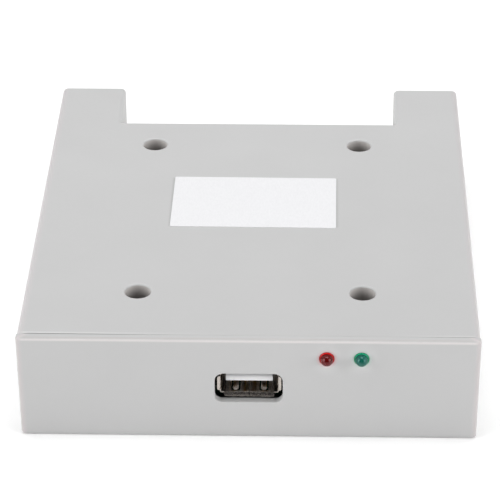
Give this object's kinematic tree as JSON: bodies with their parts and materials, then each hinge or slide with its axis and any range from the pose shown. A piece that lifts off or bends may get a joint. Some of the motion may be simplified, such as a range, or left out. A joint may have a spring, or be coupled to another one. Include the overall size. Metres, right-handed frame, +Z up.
{
  "type": "floppy drive emulator",
  "caption": "Flat plastic case the size of a one-inch-high 3.5-inch drive, with a USB-A socket and two LEDs in front and pin headers in a rear notch.",
  "frame": {"origin": "on the surface that the case lies on, under the middle of the whole object", "axes": "+X to the right seen from the front, +Y to the rear along the case, +Z up out of the lid"},
  "size_m": [0.1016, 0.123, 0.0255],
  "materials": {
    "case_plastic": "light grey moulded plastic with a fine matt texture",
    "label_paper": "bare white sticker, slightly satin",
    "port_metal": "nickel plated sheet",
    "port_plastic": "white moulded plastic",
    "contact_gold": "gold plated",
    "screw_metal": "dark plated steel",
    "red_lens": "clear red tinted epoxy",
    "green_lens": "clear green tinted epoxy",
    "lead_tin": "tinned",
    "board": "green solder mask",
    "chip_black": "matt moulded epoxy",
    "header_black": "black moulded plastic with plated pins",
    "can_metal": "bare drawn can"
  },
  "bodies": {
    "case": {"top_cover": "case_plastic", "front_bezel": "case_plastic", "bottom_tray": "case_plastic", "top_label": "label_paper", "circuit_board": "board", "case_screw_front_left": "screw_metal", "case_screw_front_right": "screw_metal", "case_screw_rear_left": "screw_metal", "case_screw_rear_right": "screw_metal", "usb_shell": "port_metal", "usb_insulator": "port_plastic", "usb_contact_1": "contact_gold", "usb_contact_2": "contact_gold", "usb_contact_3": "contact_gold", "usb_contact_4": "contact_gold", "red_led": "red_lens", "red_led_lead_1": "lead_tin", "red_led_lead_2": "lead_tin", "green_led": "green_lens", "green_led_lead_1": "lead_tin", "green_led_lead_2": "lead_tin", "data_header": "header_black", "jumper_header": "header_black", "power_header": "port_plastic", "power_pin_1": "lead_tin", "power_pin_2": "lead_tin", "power_pin_3": "lead_tin", "power_pin_4": "lead_tin", "microcontroller": "chip_black", "flash_chip": "chip_black", "buffer_chip_1": "chip_black", "buffer_chip_2": "chip_black", "crystal": "can_metal", "voltage_regulator": "chip_black", "filter_capacitor_1": "can_metal", "filter_capacitor_2": "can_metal", "programming_header": "header_black"},
    "first_cap": {"jumper_cap_1": "header_black"},
    "second_cap": {"jumper_cap_2": "header_black"}
  },
  "joints": [
    {"name": "first_cap_slide", "type": "slide", "parent": "case", "child": "first_cap", "axis": [0, 1, 0], "range_m": [0, 0.0064]},
    {"name": "second_cap_slide", "type": "slide", "parent": "case", "child": "second_cap", "axis": [0, 1, 0], "range_m": [0, 0.0064]}
  ]
}
